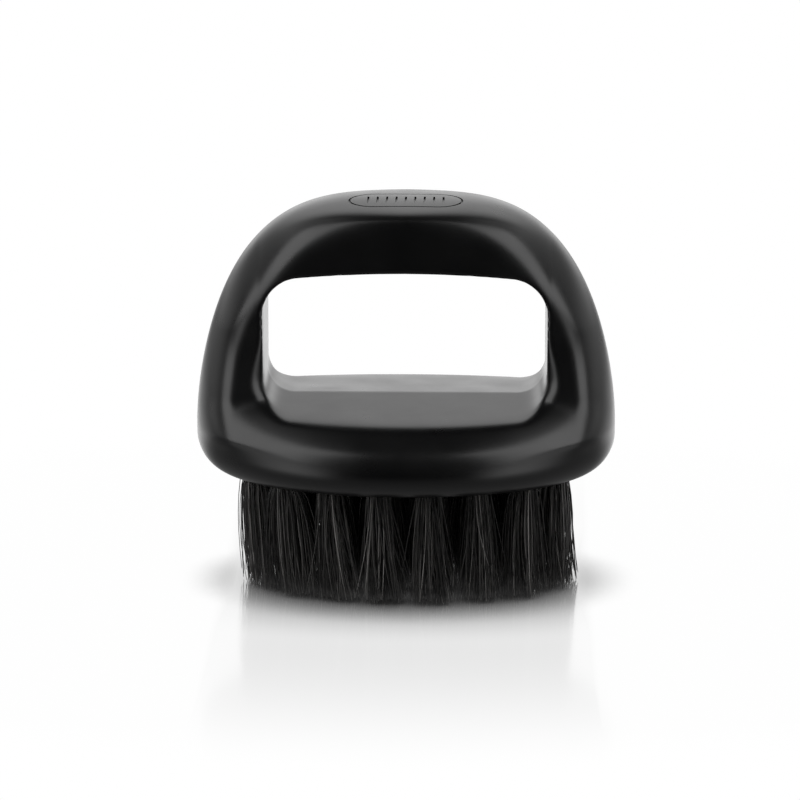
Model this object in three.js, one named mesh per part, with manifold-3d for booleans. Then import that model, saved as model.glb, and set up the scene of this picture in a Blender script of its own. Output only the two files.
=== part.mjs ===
// A fade brush for barbers: a moulded bow handle on an oval base, and an oval block of bristle tufts
// set into the underside of that base. Every tuft is folded over a flat wire anchor in its own hole.
// Millimetres, +Z up. The origin is the centre of the plane of the bristle tips, on which the brush
// stands. +X runs along the oval's long axis and the front faces -Y.
import * as THREE from "three";
import { mergeVertices } from "three/addons/utils/BufferGeometryUtils.js";
import Module from "manifold-3d";

// Overall size
const WIDTH = 90; // the oval base's long axis, X
const DEPTH = 62; // its short axis, Y
const HEIGHT = 84.7; // from the bristle tips to the crest of the bow
const BASE_Z = 25.5; // underside of the base: the bristle that shows is this long
const GAP = 0.3; // left between pieces that touch

// Handle: its outline from the front. It closes in above its widest level, and a little below it
const WIDEST_Z = 36;
const OUTLINE_POWER_X = 3.68;
const OUTLINE_POWER_Z = 1.7;
const BASE_EDGE = { inset: 7, rise: 8.3 }; // round lower edge of the base at its two ends
const FRONT_EDGE = { inset: 5.5, rise: 6.5 }; // and at its front and back
// Handle: the oval base, a thick disc with a soft upper edge
const DISC_TOP_Z = 44.2;
const DISC_ROUND = 13.2;
const DISC_POWER = 2.1;
const PLAN_POWER = 2.05; // superellipse of its plan, close to an ellipse
// Handle: the strap that makes the legs and the bow. It is flat in front and behind, with soft edges
const LEG_DEPTH = 25;
const BOW_DEPTH = 30;
const BOW_START_Z = 48; // it deepens from here to the crest
const LEG_FLARE = 4.2; // how far each face spreads out where the legs meet the base
const FLARE_Z = 34;
const LEG_Z = 58;
const SHOULDER_Z = 74;
const STRAP_LOW_Z = 27; // the strap ends inside the base, between these levels
const STRAP_FULL_Z = 36;
const BASE_REACH = 12.5; // how far in from the outline its edges round off, at the base
const LEG_REACH = 10; // on the legs
const SHOULDER_REACH = 14; // and on the shoulders
const CREST_REACH = 4; // and in the middle of the crest
const STRAP_POWER = 2.3;
const SHOULDER_X = 31; // the crest's top is a flat band, which narrows away towards here
const CREST_SHARE = 0.86; // the band's share of the strap's depth in the middle
const SHARE_POWER = 1.3; // how it narrows
const CREST_EDGE = 2.5; // reach of the band's own edges
const CREST_POWER = 2.6;
const BLEND_POWER = 5; // how closely the strap and the disc keep their own shapes where they meet
// Handle: the finger opening. It is narrowest at the mid-plane, where it has a ridge all round
const OPENING_WIDTH = 59.6;
const OPENING_HEIGHT = 28.7;
const UPPER_CORNER = 7;
const LOWER_CORNER = 6;
const CORNER_BLEND = 4; // half the height over which one corner radius gives way to the other
const CEILING_ARCH = 1.8; // how far its ceiling drops towards the ends
const SHELF_Z = 41.8; // its lowest edge
const SHELF_DRAFT = THREE.MathUtils.degToRad(4); // it widens from the ridge towards both faces
const WALL_DRAFT = THREE.MathUtils.degToRad(1.5);
const SHELF_EDGE_RADIUS = 0.3;
const WALL_EDGE_RADIUS = 1.2;
const CORNER_EDGE_RADIUS = 2.5; // extra round of the edge beside the opening's lower corners
const CORNER_START_X = 16; // which grows from here
const CORNER_FULL_X = 29; // to here
const CORNER_FULL_Z = 47; // and goes again between these levels
const CORNER_END_Z = 58;
const WALL_START_Z = SHELF_Z - 2; // the shelf's draft and edge give way to the walls' between these
const WALL_FULL_Z = SHELF_Z + 5;
const RIDGE_SHARPNESS = 9; // how closely the surface keeps to the draft near the ridge
// Handle: mesh fineness
const RAYS = 92; // sections round the opening
const SECTION_POINTS = 22; // points on a half section
const TURN_LENGTH = 4; // extra length that a turn of one radian counts for, to place points on edges
const FINE_STEPS = 240; // steps of the curves that the points are picked from

// Underside of the handle: the seat for the bristle block, and cores that keep the walls even
const SEAT_LENGTH = 73.6;
const SEAT_DEPTH = 48.6;
const SEAT_TOP_Z = 34.8;
const LEG_CORE = { x: 33.9, length: 5, depth: 16, topZ: 52 };
const SHELF_CORE = { length: 46, depth: 32, topZ: 38 };
const OVAL_SEGMENTS = 24; // of each half of an oval outline

// Bristle block and tufts
const BLOCK_BOTTOM_Z = 26.5;
const BLOCK_TOP_Z = SEAT_TOP_Z - GAP;
const HOLE_RADIUS = 2.6;
const HOLE_DEPTH = 6.5;
const HOLE_SIDES = 12;
const TUFT_ROOT_RADIUS = HOLE_RADIUS - GAP;
const TUFT_TIP_RADIUS = 4.2;
const TUFT_BULGE = 0.62; // share of the spread that is reached half-way down
const ANCHOR = { length: 4.6, thickness: 0.5, height: 2, z: 30.6 };
const TUFT_RINGS = [
  { name: "outer", count: 16, halfX: 33.2, halfY: 20.3, offset: 0.5 },
  { name: "middle", count: 10, halfX: 23, halfY: 9.9, offset: 0 },
];
const INNER_ROW = { name: "inner", count: 3, pitch: 10.3 };

const moulded = (color, roughness) => new THREE.MeshStandardMaterial({ color, roughness, metalness: 0 });
const HANDLE_PLASTIC = moulded(0x141414, 0.35);
const BLOCK_PLASTIC = moulded(0x101010, 0.6);
const BRISTLE = moulded(0x1b1a19, 0.5);
const ANCHOR_WIRE = new THREE.MeshStandardMaterial({ color: 0xb9b4a6, roughness: 0.35, metalness: 1 });

const wasm = await Module();
wasm.setup();

// A closed geometry as a manifold-3d solid, and back.
function solid(geometry) {
  const bare = geometry.clone();
  bare.deleteAttribute("normal");
  bare.deleteAttribute("uv");
  const merged = mergeVertices(bare, 1e-4);
  const vertProperties = new Float32Array(merged.attributes.position.array);
  const triVerts = new Uint32Array(merged.index.array);
  return new wasm.Manifold(new wasm.Mesh({ numProp: 3, vertProperties, triVerts }));
}

function geometryOf(manifold) {
  const { vertProperties, triVerts } = manifold.getMesh();
  return new THREE.BufferGeometry()
    .setAttribute("position", new THREE.BufferAttribute(vertProperties, 3))
    .setIndex(new THREE.BufferAttribute(triVerts, 1));
}

// ---- Handle surface ----

const lerp = THREE.MathUtils.lerp;
const smoothstep = THREE.MathUtils.smoothstep;
const clamp = THREE.MathUtils.clamp;
const OPENING_CENTRE_Z = SHELF_Z + OPENING_HEIGHT / 2;

// How far a round lower edge of the base has drawn in at a level.
function edgeInset(z, { inset, rise }) {
  const below = clamp((BASE_Z + rise - z) / rise, 0, 1);
  return inset * (1 - Math.sqrt(1 - below ** 2));
}

// Half the handle's width at a level.
function halfWidth(z) {
  const up = clamp((z - WIDEST_Z) / (HEIGHT - WIDEST_Z), 0, 1);
  const outline = (WIDTH / 2) * (1 - up ** OUTLINE_POWER_Z) ** (1 / OUTLINE_POWER_X);
  return outline - edgeInset(z, BASE_EDGE);
}

// About how far (x, z) is inside the outline of the legs and the bow.
function outlineDistance(x, z) {
  const rise = HEIGHT - WIDEST_Z;
  const up = clamp((z - WIDEST_Z) / rise, 0, 1);
  const across = Math.abs(x) / (WIDTH / 2);
  const left = 1 - across ** OUTLINE_POWER_X - up ** OUTLINE_POWER_Z;
  const slopeX = (OUTLINE_POWER_X * across ** (OUTLINE_POWER_X - 1)) / (WIDTH / 2);
  const slopeZ = (OUTLINE_POWER_Z * up ** (OUTLINE_POWER_Z - 1)) / rise;
  return Math.max(left, 0) / Math.max(Math.hypot(slopeX, slopeZ), 1e-6);
}

// Distance outwards from the opening's outline, a rectangle with round corners and an arched ceiling.
function openingDistance(x, z) {
  const up = z - OPENING_CENTRE_Z;
  const arch = up > 0 ? CEILING_ARCH * (x / (OPENING_WIDTH / 2)) ** 2 : 0;
  const corner = lerp(LOWER_CORNER, UPPER_CORNER, smoothstep(up, -CORNER_BLEND, CORNER_BLEND));
  const overX = Math.abs(x) - (OPENING_WIDTH / 2 - corner);
  const overZ = Math.abs(up) + arch - (OPENING_HEIGHT / 2 - corner);
  const outside = Math.hypot(Math.max(overX, 0), Math.max(overZ, 0));
  return outside + Math.min(Math.max(overX, overZ), 0) - corner;
}

// An edge's round: 0 at the edge, and 1 from `reach` inwards.
function rounded(distance, reach, power) {
  const left = 1 - clamp(distance / reach, 0, 1);
  return Math.sqrt(1 - left ** power);
}

// Half the depth of the oval base at a point of the front view.
function discDepth(x, z) {
  const across = Math.min(1, Math.abs(x) / Math.max(halfWidth(z), 1e-6));
  const full = (DEPTH / 2) * rounded(DISC_TOP_Z - z, DISC_ROUND, DISC_POWER);
  const middle = Math.max(full - edgeInset(z, FRONT_EDGE), 0);
  return middle * (1 - across ** PLAN_POWER) ** (1 / PLAN_POWER);
}

// Half the depth of the strap that makes the legs and the bow.
function strapDepth(x, z) {
  const straight = lerp(LEG_DEPTH, BOW_DEPTH, smoothstep(z, BOW_START_Z, HEIGHT)) / 2;
  const flat = straight + LEG_FLARE * (1 - smoothstep(z, FLARE_Z, LEG_Z));
  const below = lerp(BASE_REACH, LEG_REACH, clamp((z - FLARE_Z) / (LEG_Z - FLARE_Z), 0, 1));
  const beside = lerp(below, SHOULDER_REACH, smoothstep(z, LEG_Z, SHOULDER_Z));
  const offCrest = clamp(Math.abs(x) / SHOULDER_X, 0, 1);
  const share = CREST_SHARE * (1 - offCrest ** SHARE_POWER);
  const inside = outlineDistance(x, z);
  const crest = rounded(inside, CREST_EDGE, CREST_POWER);
  const soft = rounded(inside, lerp(CREST_REACH, beside, offCrest), STRAP_POWER);
  return smoothstep(z, STRAP_LOW_Z, STRAP_FULL_Z) * flat * lerp(soft, crest, share);
}

// Radius of the edge between the opening and the faces. It is larger beside the lower corners.
function edgeRadius(x, z, above) {
  const aside = smoothstep(Math.abs(x), CORNER_START_X, CORNER_FULL_X);
  const corner = aside * (1 - smoothstep(z, CORNER_FULL_Z, CORNER_END_Z));
  return lerp(SHELF_EDGE_RADIUS, WALL_EDGE_RADIUS, above) + CORNER_EDGE_RADIUS * corner;
}

// Half the handle's depth at a point of its front view: the disc and the strap blended, a round
// edge towards the opening, and the draft inside it that makes the ridge.
function halfDepth(x, z) {
  const inwards = openingDistance(x, z);
  const blended = (discDepth(x, z) ** BLEND_POWER + strapDepth(x, z) ** BLEND_POWER) ** (1 / BLEND_POWER);
  const above = smoothstep(z, WALL_START_Z, WALL_FULL_Z);
  const radius = clamp(edgeRadius(x, z, above), 1e-6, Math.max(blended, 1e-6));
  const face = Math.max(blended - radius * (1 - rounded(inwards, radius, 2)), 1e-9);
  const wall = Math.max(inwards / Math.tan(lerp(SHELF_DRAFT, WALL_DRAFT, above)), 1e-9);
  return (face ** -RIDGE_SHARPNESS + wall ** -RIDGE_SHARPNESS) ** (-1 / RIDGE_SHARPNESS);
}

// The distance from the opening's centre, at an angle, at which (x, z) stops being inside an outline.
function crossing(angle, inside, low, high) {
  for (let i = 0; i < 40; i++) {
    const middle = (low + high) / 2;
    const here = inside(middle * Math.cos(angle), OPENING_CENTRE_Z + middle * Math.sin(angle));
    if (here) low = middle;
    else high = middle;
  }
  return low;
}

const ridgeRadius = (angle) => crossing(angle, (x, z) => openingDistance(x, z) < 0, 0, WIDTH);
const outlineRadius = (angle) =>
  crossing(angle, (x, z) => z > BASE_Z && z < HEIGHT && Math.abs(x) < halfWidth(z), 0, WIDTH);

// Where a rising list of sums reaches a value: the index after it, and the share of that step.
function reach(sums, value) {
  let i = 1;
  while (i < sums.length - 1 && sums[i] < value) i++;
  return [i, clamp((value - sums[i - 1]) / (sums[i] - sums[i - 1]), 0, 1)];
}

// Angles round the opening, spaced evenly along its outline and the handle's outline together.
function rayAngles(count) {
  const fine = FINE_STEPS * 4;
  const angles = Array.from({ length: fine + 1 }, (_, i) => -Math.PI / 2 + (2 * Math.PI * i) / fine);
  const along = (radius) => {
    const at = angles.map((a) => new THREE.Vector2(Math.cos(a), Math.sin(a)).multiplyScalar(radius(a)));
    const sums = [0];
    for (let i = 1; i <= fine; i++) sums.push(sums[i - 1] + at[i].distanceTo(at[i - 1]));
    return sums.map((s) => s / sums[fine]);
  };
  const inner = along(ridgeRadius);
  const outer = along(outlineRadius);
  const share = inner.map((s, i) => (s + outer[i]) / 2);
  return Array.from({ length: count }, (_, k) => {
    const [i, part] = reach(share, k / count);
    return lerp(angles[i - 1], angles[i], part);
  });
}

// One half of the section at an angle, from the ridge to the crest, as points (radius, depth)
// evenly apart along it, and closer together where it turns.
function halfSection(angle) {
  const from = ridgeRadius(angle);
  const to = outlineRadius(angle);
  const fine = [];
  for (let i = 0; i <= FINE_STEPS; i++) {
    const radius = lerp(from, to, (1 - Math.cos((Math.PI * i) / FINE_STEPS)) / 2);
    const x = radius * Math.cos(angle);
    const z = OPENING_CENTRE_Z + radius * Math.sin(angle);
    fine.push(new THREE.Vector2(radius, i === 0 ? 0 : halfDepth(x, z)));
  }
  fine.push(new THREE.Vector2(to, 0));
  const steps = fine.slice(1).map((point, i) => point.clone().sub(fine[i]));
  const sums = [0];
  steps.forEach((step, i) => {
    const turn = i === 0 ? 0 : step.angleTo(steps[i - 1]);
    sums.push(sums[i] + step.length() + TURN_LENGTH * turn);
  });
  return Array.from({ length: SECTION_POINTS + 1 }, (_, j) => {
    const [i, part] = reach(sums, (sums.at(-1) * j) / SECTION_POINTS);
    return fine[i - 1].clone().lerp(fine[i], part);
  });
}

// The handle before its underside is cut: a ring of sections round the finger opening.
function handleBodyGeometry() {
  const loop = 2 * SECTION_POINTS;
  const positions = [];
  for (const angle of rayAngles(RAYS)) {
    const half = halfSection(angle);
    for (let j = 0; j < loop; j++) {
      const back = j > SECTION_POINTS;
      const at = half[back ? loop - j : j];
      const y = j % SECTION_POINTS === 0 ? 0 : back ? at.y : -at.y;
      positions.push(at.x * Math.cos(angle), y, OPENING_CENTRE_Z + at.x * Math.sin(angle));
    }
  }
  const index = [];
  for (let k = 0; k < RAYS; k++) {
    for (let j = 0; j < loop; j++) {
      const [a, b] = [k, (k + 1) % RAYS].map((row) => row * loop + j);
      const [c, d] = [k, (k + 1) % RAYS].map((row) => row * loop + ((j + 1) % loop));
      index.push(a, c, b, b, c, d);
    }
  }
  return new THREE.BufferGeometry()
    .setAttribute("position", new THREE.Float32BufferAttribute(positions, 3))
    .setIndex(index);
}

// ---- Other shapes ----

function ovalPrism(length, depth, bottomZ, topZ) {
  const outline = new THREE.Shape().absellipse(0, 0, length / 2, depth / 2, 0, 2 * Math.PI);
  const options = { depth: topZ - bottomZ, bevelEnabled: false, curveSegments: 2 * OVAL_SEGMENTS };
  return new THREE.ExtrudeGeometry(outline, options).translate(0, 0, bottomZ);
}

function handleGeometry() {
  const below = BASE_Z - 1;
  let handle = solid(handleBodyGeometry());
  handle = handle.subtract(solid(ovalPrism(SEAT_LENGTH, SEAT_DEPTH, below, SEAT_TOP_Z)));
  handle = handle.subtract(solid(ovalPrism(SHELF_CORE.length, SHELF_CORE.depth, below, SHELF_CORE.topZ)));
  for (const side of [-1, 1]) {
    const core = ovalPrism(LEG_CORE.length, LEG_CORE.depth, below, LEG_CORE.topZ);
    handle = handle.subtract(solid(core.translate(side * LEG_CORE.x, 0, 0)));
  }
  return geometryOf(handle);
}

// Points an even distance apart round an ellipse. The first is `offset` of a step from its +X end.
function pointsOnEllipse({ count, halfX, halfY, offset }) {
  const ellipse = new THREE.EllipseCurve(0, 0, halfX, halfY);
  ellipse.arcLengthDivisions = FINE_STEPS * 4;
  return Array.from({ length: count }, (_, k) => ellipse.getPointAt((k + offset) / count));
}

function tuftPlaces() {
  const places = [];
  const add = (ring, points) => {
    points.forEach((at, k) => places.push({ at, label: String(k + 1).padStart(2, "0"), ring }));
  };
  for (const ring of TUFT_RINGS) add(ring.name, pointsOnEllipse(ring));
  const { name, count, pitch } = INNER_ROW;
  add(name, Array.from({ length: count }, (_, k) => new THREE.Vector2((k - (count - 1) / 2) * pitch, 0)));
  return places;
}

function blockGeometry(places) {
  let block = solid(ovalPrism(SEAT_LENGTH - 2 * GAP, SEAT_DEPTH - 2 * GAP, BLOCK_BOTTOM_Z, BLOCK_TOP_Z));
  const hole = new THREE.CylinderGeometry(HOLE_RADIUS, HOLE_RADIUS, 2 * HOLE_DEPTH, HOLE_SIDES);
  hole.rotateX(Math.PI / 2).translate(0, 0, BLOCK_BOTTOM_Z);
  for (const { at } of places) block = block.subtract(solid(hole.clone().translate(at.x, at.y, 0)));
  return geometryOf(block);
}

// A tuft, folded over its anchor at the root and spreading towards the tips.
function tuftGeometry() {
  const halfwayRadius = lerp(TUFT_ROOT_RADIUS, TUFT_TIP_RADIUS, TUFT_BULGE);
  const rootTopZ = BLOCK_BOTTOM_Z + HOLE_DEPTH - GAP;
  const profile = [
    [0, 0],
    [TUFT_TIP_RADIUS, 0],
    [halfwayRadius, BASE_Z / 2],
    [TUFT_ROOT_RADIUS, BLOCK_BOTTOM_Z - GAP],
    [TUFT_ROOT_RADIUS, rootTopZ],
    [0, rootTopZ],
  ].map(([r, z]) => new THREE.Vector2(r, z));
  const tuft = new THREE.LatheGeometry(profile, HOLE_SIDES).rotateX(Math.PI / 2);
  const fold = new THREE.BoxGeometry(
    2 * HOLE_RADIUS,
    ANCHOR.thickness + 2 * GAP,
    ANCHOR.height + 2 * GAP,
  ).translate(0, 0, ANCHOR.z);
  return geometryOf(solid(tuft).subtract(solid(fold)));
}

const anchorGeometry = () =>
  new THREE.BoxGeometry(ANCHOR.length, ANCHOR.thickness, ANCHOR.height).translate(0, 0, ANCHOR.z);

// ---- Assembly ----

function part(name, geometry, material, x = 0, y = 0) {
  const mesh = new THREE.Mesh(geometry, material);
  mesh.name = name;
  mesh.position.set(x, y, 0);
  return mesh;
}

const brush = new THREE.Group();
const places = tuftPlaces();
brush.add(part("handle", handleGeometry(), HANDLE_PLASTIC));
brush.add(part("bristle_block", blockGeometry(places), BLOCK_PLASTIC));
const tuft = tuftGeometry();
const anchor = anchorGeometry();
for (const { at, label, ring } of places) {
  brush.add(part(`${ring}_tuft_${label}`, tuft, BRISTLE, at.x, at.y));
  brush.add(part(`${ring}_anchor_${label}`, anchor, ANCHOR_WIRE, at.x, at.y));
}

export default brush;
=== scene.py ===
"""Looks of the fade brush: a satin black moulded handle, its bristle block and 29 tufts of bristle.

Lengths are in metres and in the frame of the CAD model: +X along the oval base, the front faces -Y, and
the brush stands on its bristle tips at Z = 0. Every random draw comes from a seeded generator.
"""

import math

import bpy
import numpy as np
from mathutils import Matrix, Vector


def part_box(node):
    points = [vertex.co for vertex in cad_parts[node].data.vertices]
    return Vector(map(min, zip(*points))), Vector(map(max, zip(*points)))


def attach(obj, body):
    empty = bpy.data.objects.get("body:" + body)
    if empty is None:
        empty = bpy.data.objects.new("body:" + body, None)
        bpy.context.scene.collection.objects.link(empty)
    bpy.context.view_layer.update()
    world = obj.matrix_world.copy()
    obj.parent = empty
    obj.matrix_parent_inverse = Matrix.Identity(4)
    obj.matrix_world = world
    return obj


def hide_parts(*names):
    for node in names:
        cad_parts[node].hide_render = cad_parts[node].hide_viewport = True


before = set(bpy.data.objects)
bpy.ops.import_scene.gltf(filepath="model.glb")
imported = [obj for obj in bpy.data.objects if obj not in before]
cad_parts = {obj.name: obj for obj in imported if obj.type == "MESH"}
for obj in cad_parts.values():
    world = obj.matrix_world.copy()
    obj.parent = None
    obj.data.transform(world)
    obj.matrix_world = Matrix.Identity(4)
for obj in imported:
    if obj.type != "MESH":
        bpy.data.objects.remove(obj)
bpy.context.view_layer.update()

MM = 0.001
BODY = "root"

# ---- Sizes taken from the frame ----

HANDLE_LOW, HANDLE_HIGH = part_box("handle")
BLOCK_LOW, BLOCK_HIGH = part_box("bristle_block")
_, ANCHOR_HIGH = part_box("inner_anchor_01")
WIDTH = HANDLE_HIGH.x - HANDLE_LOW.x
DEPTH = HANDLE_HIGH.y - HANDLE_LOW.y
HEIGHT = HANDLE_HIGH.z
BASE_Z = HANDLE_LOW.z
GAP = 0.3 * MM

# ---- Handle: the same formulas as the CAD solid, on a much finer mesh ----

# Its outline from the front closes in above the widest level, and a little below it
WIDEST_Z = 36 * MM
OUTLINE_POWER_X = 3.68
OUTLINE_POWER_Z = 1.7
# Round lower edge of the base, at its two ends and then at its front and back
BASE_EDGE_INSET = 7 * MM
BASE_EDGE_RISE = 8.3 * MM
FRONT_EDGE_INSET = 5.5 * MM
FRONT_EDGE_RISE = 6.5 * MM
# The oval base, a thick disc with a soft upper edge
PLAN_POWER = 2.05
DISC_TOP_Z = 44.2 * MM
DISC_POWER = 2.1
DISC_ROUND = 13.2 * MM
# The strap that makes the legs and the bow. It deepens towards the crest, and flares out at the base
LEG_DEPTH = 25 * MM
BOW_DEPTH = 30 * MM
BOW_START_Z = 48 * MM
LEG_FLARE = 4.2 * MM
FLARE_Z = 34 * MM
LEG_Z = 58 * MM
SHOULDER_Z = 74 * MM
STRAP_LOW_Z = 27 * MM
STRAP_FULL_Z = 36 * MM
# How far in from the outline the strap's edges round off, from the base up to the crest
BASE_REACH = 12.5 * MM
LEG_REACH = 10 * MM
SHOULDER_REACH = 14 * MM
CREST_REACH = 4 * MM
STRAP_POWER = 2.3
# The crest's top is a flat band with edges of its own, which narrows away towards the shoulders
SHOULDER_X = 31 * MM
CREST_SHARE = 0.86
SHARE_POWER = 1.3
CREST_EDGE = 2.5 * MM
CREST_POWER = 2.6
BLEND_POWER = 5  # how closely the strap and the disc keep their own shapes where they meet
# The finger opening, narrowest at the mid-plane, where it has a ridge all round
OPENING_WIDTH = 59.6 * MM
OPENING_HEIGHT = 28.7 * MM
UPPER_CORNER = 7 * MM
LOWER_CORNER = 6 * MM
CORNER_BLEND = 4 * MM
CEILING_ARCH = 1.8 * MM
SHELF_Z = 41.8 * MM
SHELF_DRAFT = math.radians(4)
WALL_DRAFT = math.radians(1.5)
RIDGE_SHARPNESS = 9
# The opening's edges are rounder on the walls than on the shelf, and rounder still at its lower corners
SHELF_EDGE = 0.3 * MM
WALL_EDGE = 1.2 * MM
WALL_START_Z = SHELF_Z - 2 * MM
WALL_FULL_Z = SHELF_Z + 5 * MM
CORNER_EDGE = 2.5 * MM
CORNER_START_X = 16 * MM
CORNER_FULL_X = 29 * MM
CORNER_FULL_Z = 47 * MM
CORNER_END_Z = 58 * MM
OPENING_CENTRE_Z = SHELF_Z + OPENING_HEIGHT / 2
# Fineness of the mesh
RAYS = 420
SECTION_POINTS = 70
FINE_STEPS = 400
SEARCH_STEPS = 50


def clamp(value):
    return np.clip(value, 0.0, 1.0)


def lerp(low, high, share):
    return low + (high - low) * share


def smoothstep(value, low, high):
    share = clamp((value - low) / (high - low))
    return share * share * (3 - 2 * share)


def edge_inset(z, inset, rise):
    """How far the base's lower edge has drawn in at a level, by its round."""
    below = clamp((BASE_Z + rise - z) / rise)
    return inset * (1 - np.sqrt(1 - below**2))


def half_width(z):
    """Half the handle's width at a level."""
    up = clamp((z - WIDEST_Z) / (HEIGHT - WIDEST_Z))
    outline = WIDTH / 2 * (1 - up**OUTLINE_POWER_Z) ** (1 / OUTLINE_POWER_X)
    return outline - edge_inset(z, BASE_EDGE_INSET, BASE_EDGE_RISE)


def opening_distance(x, z):
    """Distance outwards from the opening's outline, a round-cornered rectangle with an arched ceiling."""
    up = z - OPENING_CENTRE_Z
    arch = np.where(up > 0, CEILING_ARCH * (x / (OPENING_WIDTH / 2)) ** 2, 0)
    corner = lerp(LOWER_CORNER, UPPER_CORNER, smoothstep(up, -CORNER_BLEND, CORNER_BLEND))
    over_x = np.abs(x) - (OPENING_WIDTH / 2 - corner)
    over_z = np.abs(up) + arch - (OPENING_HEIGHT / 2 - corner)
    outside = np.hypot(np.maximum(over_x, 0), np.maximum(over_z, 0))
    return outside + np.minimum(np.maximum(over_x, over_z), 0) - corner


def rounded(distance, reach, power):
    """An edge's round: 0 at the edge, and 1 from reach inwards. Above power 2 it meets the face softly."""
    left = 1 - clamp(distance / reach)
    return np.sqrt(1 - left**power)


def outline_distance(x, z):
    """Distance inwards from the outline of the front view, above its widest level."""
    rise = HEIGHT - WIDEST_Z
    up = clamp((z - WIDEST_Z) / rise)
    across = np.abs(x) / (WIDTH / 2)
    left = 1 - across**OUTLINE_POWER_X - up**OUTLINE_POWER_Z
    slope_x = OUTLINE_POWER_X * across ** (OUTLINE_POWER_X - 1) / (WIDTH / 2)
    slope_z = OUTLINE_POWER_Z * up ** (OUTLINE_POWER_Z - 1) / rise
    return np.maximum(left, 0) / np.maximum(np.hypot(slope_x, slope_z), 1e-3)


def disc_depth(x, z):
    """Half the depth of the oval base, which has a round upper edge."""
    across = np.minimum(1, np.abs(x) / np.maximum(half_width(z), 1e-9))
    middle = DEPTH / 2 * rounded(DISC_TOP_Z - z, DISC_ROUND, DISC_POWER)
    middle = middle - edge_inset(z, FRONT_EDGE_INSET, FRONT_EDGE_RISE)
    return np.maximum(middle, 0) * (1 - across**PLAN_POWER) ** (1 / PLAN_POWER)


def strap_depth(x, z):
    """Half the depth of the bow and its legs. It falls to 0 at the outline, with the edges' round."""
    flat = lerp(LEG_DEPTH, BOW_DEPTH, smoothstep(z, BOW_START_Z, HEIGHT)) / 2
    flat = flat + LEG_FLARE * (1 - smoothstep(z, FLARE_Z, LEG_Z))
    below = lerp(BASE_REACH, LEG_REACH, clamp((z - FLARE_Z) / (LEG_Z - FLARE_Z)))
    beside = lerp(below, SHOULDER_REACH, smoothstep(z, LEG_Z, SHOULDER_Z))
    off_crest = clamp(np.abs(x) / SHOULDER_X)
    share = CREST_SHARE * (1 - off_crest**SHARE_POWER)
    inside = outline_distance(x, z)
    crest = rounded(inside, CREST_EDGE, CREST_POWER)
    soft = rounded(inside, lerp(CREST_REACH, beside, off_crest), STRAP_POWER)
    return smoothstep(z, STRAP_LOW_Z, STRAP_FULL_Z) * flat * lerp(soft, crest, share)


def opening_edge(x, z, above):
    """Radius of the edge between the opening and the faces."""
    aside = smoothstep(np.abs(x), CORNER_START_X, CORNER_FULL_X)
    corner = aside * (1 - smoothstep(z, CORNER_FULL_Z, CORNER_END_Z))
    return lerp(SHELF_EDGE, WALL_EDGE, above) + CORNER_EDGE * corner


def half_depth(x, z):
    """Half the handle's depth at a point of its front view."""
    inwards = opening_distance(x, z)
    disc, strap = disc_depth(x, z), strap_depth(x, z)
    face = (disc**BLEND_POWER + strap**BLEND_POWER) ** (1 / BLEND_POWER)
    above = smoothstep(z, WALL_START_Z, WALL_FULL_Z)
    radius = np.minimum(opening_edge(x, z, above), face)
    face = np.maximum(face - radius * (1 - rounded(inwards, np.maximum(radius, 1e-9), 2)), 1e-12)
    wall = np.maximum(inwards / np.tan(lerp(SHELF_DRAFT, WALL_DRAFT, above)), 1e-12)
    return (face**-RIDGE_SHARPNESS + wall**-RIDGE_SHARPNESS) ** (-1 / RIDGE_SHARPNESS)


def crossing(angles, inside):
    """Distance from the opening's centre, at each angle, at which a point stops being inside an outline."""
    low, high = np.zeros_like(angles), np.full_like(angles, WIDTH)
    for _ in range(SEARCH_STEPS):
        middle = (low + high) / 2
        here = inside(middle * np.cos(angles), OPENING_CENTRE_Z + middle * np.sin(angles))
        low, high = np.where(here, middle, low), np.where(here, high, middle)
    return low


def ridge_radius(angles):
    """Distance from the opening's centre to its ridge."""
    return crossing(angles, lambda x, z: opening_distance(x, z) < 0)


def outline_radius(angles):
    """Distance from the opening's centre to the handle's outline."""
    return crossing(angles, lambda x, z: (z > BASE_Z) & (z < HEIGHT) & (np.abs(x) < half_width(z)))


def ray_angles(count):
    """Angles round the opening, spaced evenly along its outline and the handle's outline together."""
    fine = np.linspace(-math.pi / 2, 1.5 * math.pi, FINE_STEPS * 8 + 1)

    def along(radius):
        reach = radius(fine)
        steps = np.hypot(np.diff(reach * np.cos(fine)), np.diff(reach * np.sin(fine)))
        return np.concatenate([[0], np.cumsum(steps)]) / steps.sum()

    share = (along(ridge_radius) + along(outline_radius)) / 2
    return np.interp(np.arange(count) / count, share, fine)


def half_sections(angles):
    """Half of the section at each angle, from the ridge to the crest: arrays of radius and depth."""
    spread = (1 - np.cos(np.linspace(0, math.pi, FINE_STEPS + 1))) / 2
    start, end = ridge_radius(angles)[:, None], outline_radius(angles)[:, None]
    radius = lerp(start, end, spread[None, :])
    across, up = radius * np.cos(angles)[:, None], radius * np.sin(angles)[:, None]
    depth = half_depth(across, OPENING_CENTRE_Z + up)
    depth[:, 0] = 0
    radius = np.hstack([radius, end])
    depth = np.hstack([depth, np.zeros_like(end)])
    steps = np.hypot(np.diff(radius, axis=1), np.diff(depth, axis=1))
    sums = np.hstack([np.zeros_like(end), np.cumsum(steps, axis=1)])
    want = np.linspace(0, 1, SECTION_POINTS + 1)
    rows = [
        (np.interp(want * total[-1], total, r), np.interp(want * total[-1], total, d))
        for total, r, d in zip(sums, radius, depth)
    ]
    return np.array([r for r, _ in rows]), np.array([d for _, d in rows])


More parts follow.
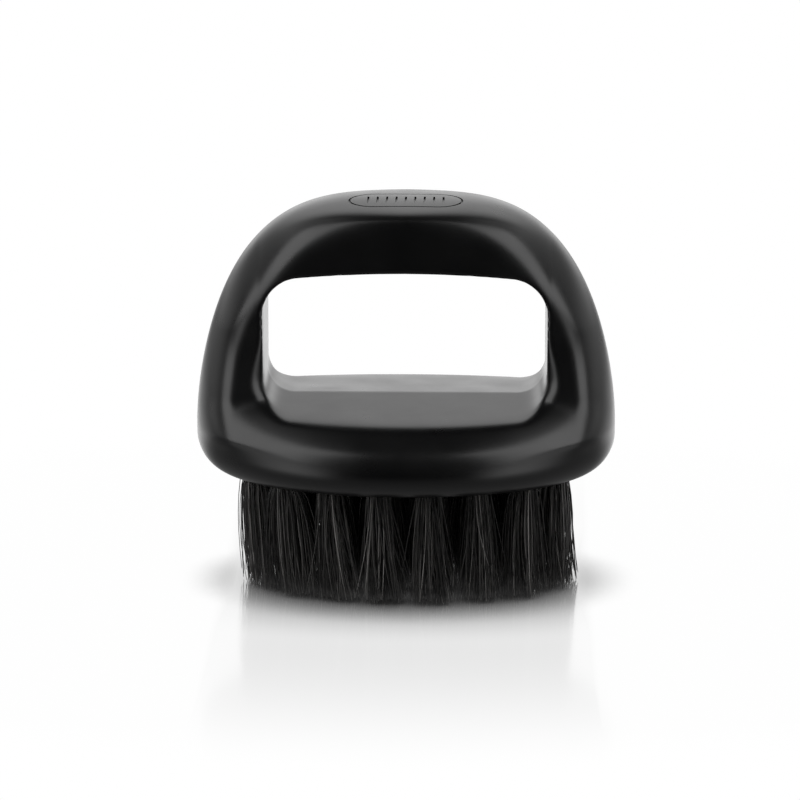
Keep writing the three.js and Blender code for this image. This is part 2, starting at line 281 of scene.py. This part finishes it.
def handle_body():
    """The handle before its underside is cut: a ring of sections round the finger opening."""
    angles = ray_angles(RAYS)
    radius, depth = half_sections(angles)
    back = slice(SECTION_POINTS - 1, 0, -1)
    radius = np.hstack([radius, radius[:, back]])
    depth = np.hstack([-depth, depth[:, back]])
    x = radius * np.cos(angles)[:, None]
    z = OPENING_CENTRE_Z + radius * np.sin(angles)[:, None]
    points = np.stack([x, depth, z], axis=-1).reshape(-1, 3)
    loop = 2 * SECTION_POINTS
    k, j = np.meshgrid(np.arange(RAYS), np.arange(loop), indexing="ij")
    here, ahead = k * loop, (k + 1) % RAYS * loop
    over = (j + 1) % loop
    faces = np.stack([here + j, here + over, ahead + over, ahead + j], axis=-1).reshape(-1, 4)
    return points, faces


# ---- Mesh helpers ----

OVAL_STEPS = 160


def new_piece(name, points, faces, material):
    """A smooth-shaded object made of points and faces, linked to the scene."""
    mesh = bpy.data.meshes.new(name)
    mesh.from_pydata([tuple(p) for p in points], [], [tuple(int(i) for i in f) for f in faces])
    mesh.validate()
    mesh.materials.append(material)
    mesh.shade_smooth()
    piece = bpy.data.objects.new(name, mesh)
    bpy.context.scene.collection.objects.link(piece)
    return piece


def oval_prism(length, depth, bottom, top):
    """Points and faces of a closed oval prism."""
    turns = np.arange(OVAL_STEPS) * 2 * math.pi / OVAL_STEPS
    points = [(math.cos(t) * length / 2, math.sin(t) * depth / 2, z) for z in (bottom, top) for t in turns]
    return points, prism_faces(OVAL_STEPS)


def prism_faces(count):
    """Faces of a closed prism: its points are those of its lower end, and then those of its upper end."""
    walls = [(i, (i + 1) % count, (i + 1) % count + count, i + count) for i in range(count)]
    ends = [tuple(range(count))[::-1], tuple(range(count, 2 * count))]
    return walls + ends


def cut(piece, points, faces):
    """Subtracts a closed shape from a piece."""
    cutter = new_piece("cutter", points, faces, piece.data.materials[0])
    modifier = piece.modifiers.new("cut", "BOOLEAN")
    modifier.operation = "DIFFERENCE"
    modifier.solver = "MANIFOLD"
    modifier.object = cutter
    evaluated = piece.evaluated_get(bpy.context.evaluated_depsgraph_get())
    mesh = bpy.data.meshes.new_from_object(evaluated)
    piece.modifiers.clear()
    piece.data = mesh
    bpy.data.objects.remove(cutter)


# ---- Materials ----


def material(name):
    """A new node material, with its nodes, its links and its shader."""
    made = bpy.data.materials.new(name)
    made.use_nodes = True
    nodes = made.node_tree.nodes
    return made, nodes, made.node_tree.links, nodes["Principled BSDF"]


def handle_plastic():
    """Satin black plastic, with patches of slightly different gloss and a faint unevenness."""
    made, nodes, links, shader = material("handle_plastic")
    shader.inputs["Base Color"].default_value = (0.0025, 0.0025, 0.0027, 1)
    shader.inputs["IOR"].default_value = 1.5
    place = nodes.new("ShaderNodeTexCoord")
    patches = nodes.new("ShaderNodeTexNoise")
    patches.inputs["Scale"].default_value = 90
    patches.inputs["Detail"].default_value = 4
    links.new(place.outputs["Object"], patches.inputs["Vector"])
    gloss = nodes.new("ShaderNodeMapRange")
    gloss.inputs["From Min"].default_value = 0.3
    gloss.inputs["From Max"].default_value = 0.7
    gloss.inputs["To Min"].default_value = 0.27
    gloss.inputs["To Max"].default_value = 0.33
    links.new(patches.outputs["Fac"], gloss.inputs["Value"])
    links.new(gloss.outputs["Result"], shader.inputs["Roughness"])
    peel = nodes.new("ShaderNodeTexNoise")
    peel.inputs["Scale"].default_value = 1500
    peel.inputs["Detail"].default_value = 2
    links.new(place.outputs["Object"], peel.inputs["Vector"])
    bump = nodes.new("ShaderNodeBump")
    bump.inputs["Strength"].default_value = 0.15
    bump.inputs["Distance"].default_value = 0.02 * MM
    links.new(peel.outputs["Fac"], bump.inputs["Height"])
    links.new(bump.outputs["Normal"], shader.inputs["Normal"])
    return made


def block_plastic():
    """Matt black plastic with a fine grain."""
    made, nodes, links, shader = material("block_plastic")
    shader.inputs["Base Color"].default_value = (0.009, 0.009, 0.010, 1)
    place = nodes.new("ShaderNodeTexCoord")
    grain = nodes.new("ShaderNodeTexNoise")
    grain.inputs["Scale"].default_value = 2500
    links.new(place.outputs["Object"], grain.inputs["Vector"])
    gloss = nodes.new("ShaderNodeMapRange")
    gloss.inputs["To Min"].default_value = 0.5
    gloss.inputs["To Max"].default_value = 0.65
    links.new(grain.outputs["Fac"], gloss.inputs["Value"])
    links.new(gloss.outputs["Result"], shader.inputs["Roughness"])
    bump = nodes.new("ShaderNodeBump")
    bump.inputs["Strength"].default_value = 0.3
    bump.inputs["Distance"].default_value = 0.02 * MM
    links.new(grain.outputs["Fac"], bump.inputs["Height"])
    links.new(bump.outputs["Normal"], shader.inputs["Normal"])
    return made


def bristle():
    """Bristle from black to light grey, by each strand's tint."""
    made, nodes, links, shader = material("bristle")
    shader.inputs["Roughness"].default_value = 0.4
    shader.inputs["Specular IOR Level"].default_value = 0.35
    tint = nodes.new("ShaderNodeAttribute")
    tint.attribute_name = "tint"
    ramp = nodes.new("ShaderNodeValToRGB")
    ramp.color_ramp.elements[0].color = (0.005, 0.005, 0.005, 1)
    ramp.color_ramp.elements[1].color = (0.3, 0.29, 0.28, 1)
    links.new(tint.outputs["Fac"], ramp.inputs["Fac"])
    links.new(ramp.outputs["Color"], shader.inputs["Base Color"])
    return made


def anchor_wire():
    """Bright drawn wire."""
    made, nodes, links, shader = material("anchor_wire")
    shader.inputs["Base Color"].default_value = (0.56, 0.54, 0.50, 1)
    shader.inputs["Metallic"].default_value = 1
    place = nodes.new("ShaderNodeTexCoord")
    drawn = nodes.new("ShaderNodeTexWave")
    drawn.bands_direction = "Z"
    drawn.inputs["Scale"].default_value = 900
    drawn.inputs["Distortion"].default_value = 3
    links.new(place.outputs["Object"], drawn.inputs["Vector"])
    gloss = nodes.new("ShaderNodeMapRange")
    gloss.inputs["To Min"].default_value = 0.25
    gloss.inputs["To Max"].default_value = 0.45
    links.new(drawn.outputs["Fac"], gloss.inputs["Value"])
    links.new(gloss.outputs["Result"], shader.inputs["Roughness"])
    return made


HANDLE_PLASTIC = handle_plastic()
BLOCK_PLASTIC = block_plastic()
BRISTLE = bristle()
ANCHOR_WIRE = anchor_wire()

# ---- Handle ----

SEAT_LENGTH = BLOCK_HIGH.x - BLOCK_LOW.x + 2 * GAP
SEAT_DEPTH = BLOCK_HIGH.y - BLOCK_LOW.y + 2 * GAP
SEAT_TOP_Z = BLOCK_HIGH.z + GAP
SHARP_EDGE = math.radians(40)

# Grip panel engraved in the top of the bow: a slot-shaped outline round a row of straight ribs
PANEL_LENGTH = 24.4 * MM
PANEL_WIDTH = 11.6 * MM
PANEL_Y = -2.6 * MM
GROOVE_WIDTH = 0.42 * MM
GROOVE_DEPTH = 0.35 * MM
RIBS = 9
RIB_PITCH = 2.0 * MM
RIB_LENGTH = 5.4 * MM
SLOT_SEGMENTS = 12  # of each quarter of a slot's outline
CREST_DROP = 8 * MM  # the bow's top lies no deeper than this below its crest, at the panel


def top_z(x, y):
    """Level of the top of the bow at a point of its plan."""
    low, high = np.full_like(x, HEIGHT - CREST_DROP), np.full_like(x, HEIGHT)
    for _ in range(SEARCH_STEPS):
        middle = (low + high) / 2
        inside = half_depth(x, middle) > np.abs(y)
        low, high = np.where(inside, middle, low), np.where(inside, high, middle)
    return low


def slot_outline(x, half_x, half_y):
    """Plan of a slot with round ends."""
    radius = min(half_x, half_y)
    turns = (np.arange(4 * SLOT_SEGMENTS) + 0.5) * math.pi / (2 * SLOT_SEGMENTS)
    across, along = np.cos(turns), np.sin(turns)
    return np.column_stack(
        [
            x + np.sign(across) * (half_x - radius) + radius * across,
            PANEL_Y + np.sign(along) * (half_y - radius) + radius * along,
        ]
    )


def slot_walls(outline):
    """Points of a cutter along an outline: at the groove's bottom, and then above the bow."""
    x, y = outline.T
    bottom = np.column_stack([outline, top_z(x, y) - GROOVE_DEPTH])
    return np.concatenate([bottom, np.column_stack([outline, np.full(len(x), HEIGHT + MM)])])


def engrave(handle):
    """Cut the panel's outline and its ribs."""
    half_x, half_y = PANEL_LENGTH / 2, PANEL_WIDTH / 2
    count = 4 * SLOT_SEGMENTS
    outer = slot_walls(slot_outline(0, half_x, half_y))
    inner = slot_walls(slot_outline(0, half_x - GROOVE_WIDTH, half_y - GROOVE_WIDTH))
    faces = []
    for i in range(count):
        j = (i + 1) % count
        out_low, out_high, in_low, in_high = (start + np.array([i, j]) for start in np.arange(4) * count)
        faces.append((out_low[0], out_low[1], out_high[1], out_high[0]))
        faces.append((in_low[1], in_low[0], in_high[0], in_high[1]))
        faces.append((out_low[1], out_low[0], in_low[0], in_low[1]))
        faces.append((out_high[0], out_high[1], in_high[1], in_high[0]))
    cut(handle, np.concatenate([outer, inner]), [tuple(int(n) for n in face) for face in faces])
    for k in range(RIBS):
        x = (k - (RIBS - 1) / 2) * RIB_PITCH
        cut(handle, slot_walls(slot_outline(x, GROOVE_WIDTH / 2, RIB_LENGTH / 2)), prism_faces(count))


def make_handle():
    """The handle, with the seat for the block cut into its underside and the panel engraved in its top."""
    points, faces = handle_body()
    handle = new_piece("handle_moulding", points, faces, HANDLE_PLASTIC)
    cut(handle, *oval_prism(SEAT_LENGTH, SEAT_DEPTH, BASE_Z - MM, SEAT_TOP_Z))
    engrave(handle)
    handle.data.set_sharp_from_angle(angle=SHARP_EDGE)
    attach(handle, BODY)
    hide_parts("handle")


make_handle()

# ---- Tufts ----

# Each is folded over its anchor, so a strand has two ends
STRANDS = 120
HAIR_RADIUS = 0.115 * MM
TIP_RADIUS = 0.075 * MM
TAPER_POWER = 0.7
ROOT_RADIUS = 2.45 * MM
OVAL_RATIO = 0.6  # of the block's depth to its length, about
ROOT_SCATTER = 0.15 * MM
ROOT_AREA = (0.02, 1)  # the roots lie between these shares of the tuft's area, from its middle outwards
ROOT_INSET = 0.5 * MM  # depth in the block at which the spread starts
# Fineness of a strand: sides, and steps along each end and over the fold
SIDES = 3
LENGTH_STEPS = 6
FOLD_STEPS = 5
START_SIDE = np.array([0.3, 0.9, 0.1])  # a direction that no strand starts along
# Power of a strand's spread along its length. Below 1 it spreads early, which fills the gaps between tufts
OUTER_FLARE = 1.15
INNER_FLARE = 0.42
LEAN = 1.1 * MM  # of all the tips towards +X
LEAN_POWER = 1.5
# Spread of the tips away from the middle of the oval and along its rim, and the scatter of both
FAN_OUT = 1.4 * MM
FAN_IN = 0.7 * MM
FRONT_IN = 1.4 * MM  # added to it at the front and back of the oval
FAN_ALONG = 2.6 * MM
OUT_SCATTER = 0.9 * MM
ALONG_SCATTER = 1.3 * MM
OUT_LIMIT = 1.6 * MM
ROOT_ALLOWANCE = 1.0 * MM
BEND = 0.56 * MM
# Stray strands spread more than the others
STRAY_SHARE = 0.07
STRAY_GAIN = 2.4
STRAY_LIMIT = 5 * MM
# Strands of a clump end at about one level. In the outer tufts, but not at the two ends, they draw together
CLUMPS = 9
CLUMP_PULL = 0.38
CLUMPED_X = 24 * MM
CLUMP_LEVEL = 1.0 * MM
# Level of the tips
LOWEST_TIP = 0.08 * MM
TIP_LEVEL = 0.5 * MM
TIP_SCATTER = 0.4 * MM
SHORT_SHARE = 0.04  # of the strands end 1 to 9 mm higher
SHORT_BY = (1, 9)
THICKNESS = (0.8, 1.2)  # a strand's, as a share of the radii above
BRIGHT_SHARE = 0.09  # of the strands are much lighter than the others
BRIGHT_TINT = (0.5, 1)
DARK_TINT = (1, 6)  # the two parameters of a beta distribution, which makes most tints dark
SEED = 31
# Fold over the anchor: the strands nearest the wire rise least over it
WIRE_GAP = 0.42 * MM
WIRE_ANGLE = 0.12  # radians that the roots keep off the wire's line
FOLD_DROP = 0.3 * MM
FOLD_RISE = (0.55 * MM, 1.45 * MM)


def tube(paths, radii, tints):
    """Closed thin tubes along paths (strand, point, xyz), as the points and faces of one mesh."""
    strands, count, _ = paths.shape
    tangents = np.gradient(paths, axis=1)
    tangents /= np.linalg.norm(tangents, axis=2, keepdims=True)
    side = np.cross(tangents[:, 0], START_SIDE)
    side /= np.linalg.norm(side, axis=1, keepdims=True)
    rings = []
    for i in range(count):
        side = side - tangents[:, i] * (side * tangents[:, i]).sum(axis=1, keepdims=True)
        side /= np.linalg.norm(side, axis=1, keepdims=True)
        other = np.cross(tangents[:, i], side)
        for s in range(SIDES):
            turn = 2 * math.pi * s / SIDES
            rings.append(paths[:, i] + radii[:, i, None] * (side * math.cos(turn) + other * math.sin(turn)))
    points = np.stack(rings, axis=1).reshape(-1, 3)
    quads = [
        (i * SIDES + s, i * SIDES + (s + 1) % SIDES, (i + 1) * SIDES + (s + 1) % SIDES, (i + 1) * SIDES + s)
        for i in range(count - 1)
        for s in range(SIDES)
    ]
    caps = [tuple(range(SIDES))[::-1], tuple((count - 1) * SIDES + s for s in range(SIDES))]
    per = count * SIDES
    faces = [tuple(n * per + i for i in face) for n in range(strands) for face in quads + caps]
    return points, faces, np.repeat(tints, per)


def tip_offsets(rng, root, outward, pull):
    """How far each strand's tip stands off its root in plan, and the level of its clump."""
    along = np.array([-outward[1], outward[0]])
    reach = root / ROOT_RADIUS
    inwards = FAN_IN + FRONT_IN * outward[1] ** 2
    fan_out = reach @ outward * FAN_OUT - inwards + rng.normal(0, OUT_SCATTER, STRANDS)
    fan_along = reach @ along * FAN_ALONG + rng.normal(0, ALONG_SCATTER, STRANDS)
    stray = rng.uniform(0, 1, STRANDS) < STRAY_SHARE
    fan_along = np.where(stray, (fan_along * STRAY_GAIN).clip(-STRAY_LIMIT, STRAY_LIMIT), fan_along)
    fan_out = np.minimum(fan_out, OUT_LIMIT - (root @ outward - ROOT_ALLOWANCE).clip(0))
    offset = fan_out[:, None] * outward + fan_along[:, None] * along
    place = np.argsort(np.argsort(fan_along)) * CLUMPS // STRANDS
    clump = (place + rng.integers(0, 2, STRANDS)) % CLUMPS
    level = rng.uniform(0, CLUMP_LEVEL, CLUMPS)[clump]
    for k in range(CLUMPS):
        drawn = (clump == k) & ~stray
        if drawn.any():
            middle = (root + offset)[drawn].mean(axis=0)
            offset[drawn] = lerp(offset[drawn], middle - root[drawn], pull)
    return offset, level


def half_paths(rng, root, outward, flare, pull):
    """Centrelines of one half of a tuft, from the tips up to just above the block's face."""
    offset, clump_level = tip_offsets(rng, root, outward, pull)
    bend = rng.normal(0, BEND, (STRANDS, 2))
    tip_z = np.abs(rng.normal(TIP_LEVEL, TIP_SCATTER, STRANDS)) + LOWEST_TIP + clump_level
    short = rng.uniform(0, 1, STRANDS) < SHORT_SHARE
    tip_z = np.where(short, tip_z + rng.uniform(*SHORT_BY, STRANDS) * MM, tip_z)
    rows = []
    for t in np.linspace(1, 0, LENGTH_STEPS + 1)[:-1]:
        xy = root + offset * t**flare + bend * math.sin(math.pi * t)
        xy[:, 0] += LEAN * t**LEAN_POWER
        rows.append(np.column_stack([xy, lerp(BLOCK_LOW.z, tip_z, t)]))
    rows.append(np.column_stack([root, np.full(STRANDS, BLOCK_LOW.z + ROOT_INSET)]))
    return np.stack(rows, axis=1)


def tuft_paths(rng, centre, outward, flare, pull):
    """Centrelines of strands folded over the anchor: from one tip up, over the wire, and down again."""
    spread = np.sqrt(rng.uniform(*ROOT_AREA, STRANDS)) * ROOT_RADIUS
    turn = rng.uniform(WIRE_ANGLE, math.pi - WIRE_ANGLE, STRANDS)
    root_x, root_y = spread * np.cos(turn), np.maximum(spread * np.sin(turn), WIRE_GAP)
    halves = []
    for sign in (-1, 1):
        root = np.stack([root_x + rng.normal(0, ROOT_SCATTER, STRANDS), sign * root_y], axis=1)
        halves.append(half_paths(rng, root, outward, flare, pull))
    rise = lerp(*FOLD_RISE, (root_y - WIRE_GAP) / (ROOT_RADIUS - WIRE_GAP))
    fold = []
    for t in np.linspace(0, math.pi, FOLD_STEPS):
        x = lerp(halves[0][:, -1, 0], halves[1][:, -1, 0], t / math.pi)
        z = ANCHOR_HIGH.z - FOLD_DROP + rise * math.sin(t)
        fold.append(np.column_stack([x, -root_y * math.cos(t), z]))
    path = np.concatenate([halves[0], np.stack(fold, axis=1), halves[1][:, ::-1]], axis=1)
    return path + np.array([centre[0], centre[1], 0])


def make_tuft(name, rng):
    """One tuft of bristle in place of its CAD solid. It spreads away from the middle of the oval block."""
    low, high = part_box(name)
    centre = np.array([(low.x + high.x) / 2, (low.y + high.y) / 2])
    scaled = centre / np.array([1.0, OVAL_RATIO]) ** 2
    size = np.linalg.norm(scaled)
    outward = scaled / size if size > MM else np.array([1.0, 0.0])
    clumped = name.startswith("outer") and abs(centre[0]) < CLUMPED_X
    flare, pull = (OUTER_FLARE, CLUMP_PULL) if clumped else (INNER_FLARE, 0)
    paths = tuft_paths(rng, centre, outward, flare, pull)
    steps = np.arange(paths.shape[1])
    ends = np.minimum(steps, steps[::-1]) / LENGTH_STEPS
    profile = lerp(TIP_RADIUS, HAIR_RADIUS, clamp(ends) ** TAPER_POWER)
    radii = profile[None, :] * rng.uniform(*THICKNESS, STRANDS)[:, None]
    bright = rng.uniform(0, 1, STRANDS) < BRIGHT_SHARE
    tints = np.where(bright, rng.uniform(*BRIGHT_TINT, STRANDS), rng.beta(*DARK_TINT, STRANDS))
    points, faces, tint = tube(paths, radii, tints)
    piece = new_piece(name.replace("tuft", "bristles"), points, faces, BRISTLE)
    layer = piece.data.attributes.new("tint", "FLOAT", "POINT")
    layer.data.foreach_set("value", tint.astype(np.float32))
    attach(piece, BODY)
    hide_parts(name)


generator = np.random.default_rng(SEED)
for tuft_name in sorted(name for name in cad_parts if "_tuft_" in name):
    make_tuft(tuft_name, generator)

for name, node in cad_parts.items():
    if "_anchor_" in name:
        node.data.materials.clear()
        node.data.materials.append(ANCHOR_WIRE)
    elif name == "bristle_block":
        node.data.materials.clear()
        node.data.materials.append(BLOCK_PLASTIC)

# ---- Floor, light and camera ----

FLOOR_HALF = 0.3
FLOOR_SQUEEZE = (0.6, 1, 0)  # distances on the floor count less along X, where the brush is longer
MIRROR_ROUGHNESS = 0.13
# Painted contact shadow on the floor: ambient occlusion within this reach, raised to this power, darkens
# its white glow
CONTACT_SHADOW_REACH = 15 * MM
CONTACT_SHADOW_POWER = 2
# How white the mirror is: two distances from the brush's middle, and the whiteness at each
NEAR_WHITE = (14 * MM, 48 * MM, 0.27, 0.8)
FAR_WHITE = (50 * MM, 130 * MM, 0, 0.2)
SIDE_WHITE = (34 * MM, 41 * MM, 0, 0.96)
# Two pairs of area lights, one of each pair on either side
SOFTBOX = {"azimuth": 55, "elevation": 30, "distance": 1.2, "width": 0.85, "height": 1.2, "radiance": 2.6}
OVERHEAD = {"azimuth": 100, "elevation": 55, "distance": 1.2, "width": 0.9, "height": 0.7, "radiance": 0.6}
LIGHT_AIM = Vector((0, 0, 0.05))
CAMERA_AIM = Vector((-0.0013, 0, 0.04))
CAMERA_AZIMUTH = 1.3
CAMERA_ELEVATION = 14.5
CAMERA_DISTANCE = 1.0
CAMERA_LENS = 209  # focal length in millimetres, on a sensor 36 mm wide
CAMERA_SENSOR = 36
CAMERA_CLIP = (0.05, 20)


def mapped(nodes, links, value, low, high, start, end):
    """A node output that goes smoothly from start to end as value goes from low to high."""
    step = nodes.new("ShaderNodeMapRange")
    step.interpolation_type = "SMOOTHSTEP"
    step.inputs["From Min"].default_value = low
    step.inputs["From Max"].default_value = high
    step.inputs["To Min"].default_value = start
    step.inputs["To Max"].default_value = end
    links.new(value, step.inputs["Value"])
    return step.outputs["Result"]


def maths(nodes, links, operation, *values):
    """The output of one Math node on outputs or numbers."""
    node = nodes.new("ShaderNodeMath")
    node.operation = operation
    for socket, value in zip(node.inputs, values):
        if isinstance(value, (int, float)):
            socket.default_value = value
        else:
            links.new(value, socket)
    return node.outputs["Value"]


def total(nodes, links, *values):
    """The sum of some outputs."""
    summed = values[0]
    for value in values[1:]:
        summed = maths(nodes, links, "ADD", summed, value)
    return summed


def product(nodes, links, *terms):
    """The product of some mapped outputs. A term is the output, its two limits, and the values at them."""
    result = mapped(nodes, links, *terms[0])
    for term in terms[1:]:
        result = maths(nodes, links, "MULTIPLY", result, mapped(nodes, links, *term))
    return result


def floor_seen(nodes, links, distance, aside):
    """What the camera sees: a mirror at the brush, which goes over to white, and a painted contact shadow,
    where ambient occlusion darkens the white glow.
    """
    near_white = mapped(nodes, links, distance, *NEAR_WHITE)
    far_white = mapped(nodes, links, distance, *FAR_WHITE)
    side_white = mapped(nodes, links, aside, *SIDE_WHITE)
    whiteness = maths(nodes, links, "MAXIMUM", total(nodes, links, near_white, far_white), side_white)
    mirror = nodes.new("ShaderNodeBsdfGlossy")
    mirror.inputs["Color"].default_value = (1, 1, 1, 1)
    mirror.inputs["Roughness"].default_value = MIRROR_ROUGHNESS
    # The contact shadow is painted: ambient occlusion darkens the floor's white glow near the brush
    contact = nodes.new("ShaderNodeAmbientOcclusion")
    contact.inputs["Distance"].default_value = CONTACT_SHADOW_REACH
    white_glow_with_painted_shadow = nodes.new("ShaderNodeEmission")
    links.new(maths(nodes, links, "POWER", contact.outputs["AO"], CONTACT_SHADOW_POWER), white_glow_with_painted_shadow.inputs["Strength"])
    seen = nodes.new("ShaderNodeMixShader")
    links.new(whiteness, seen.inputs["Fac"])
    links.new(mirror.outputs["BSDF"], seen.inputs[1])
    links.new(white_glow_with_painted_shadow.outputs["Emission"], seen.inputs[2])
    return seen.outputs["Shader"]


def floor_bounce(nodes, links, rear, distance, aside):
    """The light that the brush gets from the floor: a little from beneath, most from behind and beside."""
    azimuth = maths(nodes, links, "ARCTAN2", aside, maths(nodes, links, "MULTIPLY", rear, -1.0))
    beneath = mapped(nodes, links, distance, 0.03, 0.1, 0.25, 0)
    behind = product(nodes, links, (rear, 0.02, 0.1, 0, 1.5), (aside, 0.06, 0.2, 1, 0.35))
    beside = product(
        nodes,
        links,
        (azimuth, 0.45, 0.7, 0, 1.5),
        (azimuth, 0.85, 1.3, 1, 0.12),
        (distance, 0.05, 0.08, 0, 1),
    )
    bounce = nodes.new("ShaderNodeEmission")
    links.new(total(nodes, links, beneath, behind, beside), bounce.inputs["Strength"])
    return bounce.outputs["Emission"]


def make_floor():
    """A white table top."""
    made, nodes, links, shader = material("floor")
    nodes.remove(shader)
    place = nodes.new("ShaderNodeTexCoord").outputs["Object"]
    squeezed = nodes.new("ShaderNodeVectorMath")
    squeezed.operation = "MULTIPLY"
    squeezed.inputs[1].default_value = FLOOR_SQUEEZE
    links.new(place, squeezed.inputs[0])
    length = nodes.new("ShaderNodeVectorMath")
    length.operation = "LENGTH"
    links.new(squeezed.outputs["Vector"], length.inputs[0])
    parts = nodes.new("ShaderNodeSeparateXYZ")
    links.new(place, parts.inputs["Vector"])
    distance = length.outputs["Value"]
    aside = maths(nodes, links, "ABSOLUTE", parts.outputs["X"])
    path = nodes.new("ShaderNodeLightPath")
    top = nodes.new("ShaderNodeMixShader")
    links.new(path.outputs["Is Camera Ray"], top.inputs["Fac"])
    links.new(floor_bounce(nodes, links, parts.outputs["Y"], distance, aside), top.inputs[1])
    links.new(floor_seen(nodes, links, distance, aside), top.inputs[2])
    links.new(top.outputs["Shader"], nodes["Material Output"].inputs["Surface"])
    corners = [(x * FLOOR_HALF, y * FLOOR_HALF, 0) for x, y in ((-1, -1), (1, -1), (1, 1), (-1, 1))]
    floor = new_piece("floor", corners, [(0, 1, 2, 3)], made)


def make_world():
    """A white backdrop for the camera. The brush sees it bright behind and beside, and dark in front."""
    world = bpy.data.worlds.new("studio")
    bpy.context.scene.world = world
    world.use_nodes = True
    nodes, links = world.node_tree.nodes, world.node_tree.links
    direction = nodes.new("ShaderNodeTexCoord")
    parts = nodes.new("ShaderNodeSeparateXYZ")
    links.new(direction.outputs["Generated"], parts.inputs["Vector"])
    back, up = parts.outputs["Y"], parts.outputs["Z"]
    beside = maths(nodes, links, "ABSOLUTE", parts.outputs["X"])
    backdrop = product(
        nodes,
        links,
        (back, -0.35, 0.25, 0, 0.78),
        (up, 0.12, 0.28, 2.1, 1),
        (up, 0.3, 0.6, 1, 1.9),
        (up, 0.5, 0.85, 1, 0.03),
        (up, -0.04, 0.02, 0, 1),
        (beside, 0.3, 0.7, 1, 0.5),
    )
    table_behind = product(
        nodes,
        links,
        (back, -0.1, 0.3, 0, 1.0),
        (up, -0.6, -0.4, 0, 1),
        (up, -0.04, 0.02, 1, 0),
        (beside, 0.2, 0.5, 0.9, 0.2),
    )
    table_beside = product(
        nodes,
        links,
        (beside, 0.42, 0.65, 0, 1.5),
        (up, -0.38, -0.22, 0, 1),
        (up, -0.05, 0.05, 1, 0),
        (back, -0.72, -0.42, 1, 0.1),
    )
    path = nodes.new("ShaderNodeLightPath")
    seen = nodes.new("ShaderNodeMix")
    links.new(path.outputs["Is Camera Ray"], seen.inputs["Factor"])
    links.new(total(nodes, links, backdrop, table_behind, table_beside), seen.inputs["A"])
    seen.inputs["B"].default_value = 1.0
    sky = nodes["Background"]
    links.new(seen.outputs["Result"], sky.inputs["Strength"])
    sky.inputs["Color"].default_value = (1, 1, 1, 1)


def away(azimuth, elevation):
    """Unit vector from the brush. Azimuth 0 is in front, and 90 is on the +X side."""
    a, e = math.radians(azimuth), math.radians(elevation)
    return Vector((math.sin(a) * math.cos(e), -math.cos(a) * math.cos(e), math.sin(e)))


def aim_from(item, aim, direction, distance):
    """Put a light or camera at a distance from what it looks at."""
    item.location = aim + direction * distance
    item.rotation_euler = direction.to_track_quat("Z", "Y").to_euler()
    bpy.context.scene.collection.objects.link(item)


def area_light(name, side, azimuth, elevation, distance, width, height, radiance):
    """A soft area light aimed at the handle, on the side -1 or 1."""
    light = bpy.data.lights.new(name, "AREA")
    light.shape = "RECTANGLE"
    light.size, light.size_y = width, height
    light.energy = radiance * math.pi * width * height
    lamp = bpy.data.objects.new(name, light)
    lamp.visible_camera = False
    aim_from(lamp, LIGHT_AIM, away(side * azimuth, elevation), distance)


def make_camera():
    """The photographer's view: a long lens, a little above and a little to the right of the front."""
    data = bpy.data.cameras.new("camera")
    data.lens = CAMERA_LENS
    data.sensor_width = CAMERA_SENSOR
    data.clip_start, data.clip_end = CAMERA_CLIP
    camera = bpy.data.objects.new("camera", data)
    aim_from(camera, CAMERA_AIM, away(CAMERA_AZIMUTH, CAMERA_ELEVATION), CAMERA_DISTANCE)
    bpy.context.scene.camera = camera


make_floor()
make_world()
for side, side_name in ((-1, "left"), (1, "right")):
    area_light(f"{side_name}_softbox", side, **SOFTBOX)
    area_light(f"{side_name}_overhead", side, **OVERHEAD)
make_camera()
bpy.context.scene.view_settings.view_transform = "Standard"
